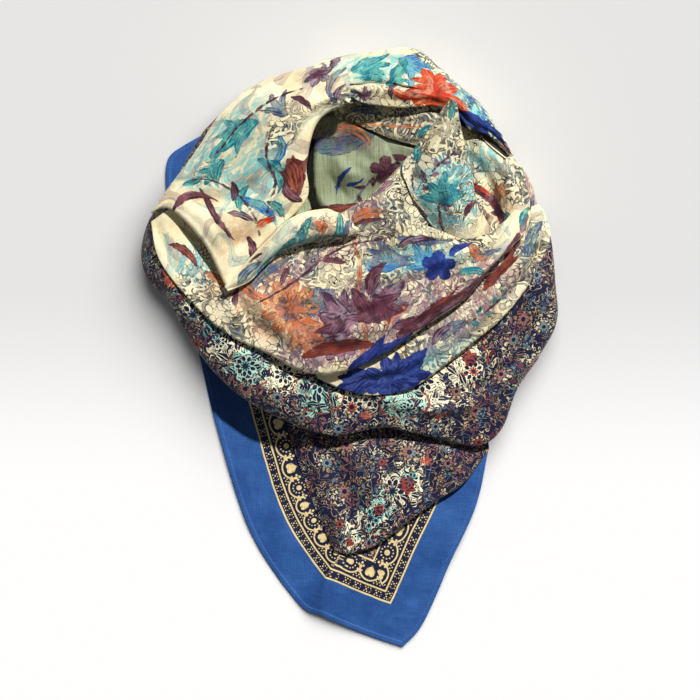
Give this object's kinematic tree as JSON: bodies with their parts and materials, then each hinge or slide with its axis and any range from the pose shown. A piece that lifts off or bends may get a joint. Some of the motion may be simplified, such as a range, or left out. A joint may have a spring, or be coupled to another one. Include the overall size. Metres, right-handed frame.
{
  "type": "silk square scarf",
  "caption": "Square printed silk scarf, folded on the diagonal, wound into a soft neck ring and laid flat, with one bordered corner spread in front and an open hollow in the ring.",
  "frame": {"origin": "on the surface that the scarf lies on, under the middle of its outline", "axes": "+Z up out of the surface; +Y from the spread corner's tip towards the back of the neck ring; +X to the right seen from above with +Y up"},
  "size_m": [0.4182, 0.6018, 0.0917],
  "materials": {
    "blue_border_silk": "matte silk, plain blue border with a cream and black printed band",
    "navy_field_silk": "matte silk, navy ground with a dense cream and gold arabesque",
    "centre_silk": "matte silk, cream ground with a multicoloured flower and leaf print",
    "hidden_silk": "matte silk, the folds inside the heap"
  },
  "bodies": {
    "root": {"hidden_folds": "hidden_silk", "back_corner": "blue_border_silk", "front_corner": "blue_border_silk", "front_drape": "navy_field_silk", "ring_band": "navy_field_silk", "neck_inside": "centre_silk", "right_edge_fold": "centre_silk", "collar_lip": "centre_silk", "right_fold": "centre_silk", "back_panel": "centre_silk", "collar_roll": "centre_silk", "neck_fold": "centre_silk", "peak_fold": "centre_silk", "outer_swag": "centre_silk", "inner_swag": "centre_silk", "back_wrap": "centre_silk", "front_roll": "centre_silk"}
  },
  "joints": []
}
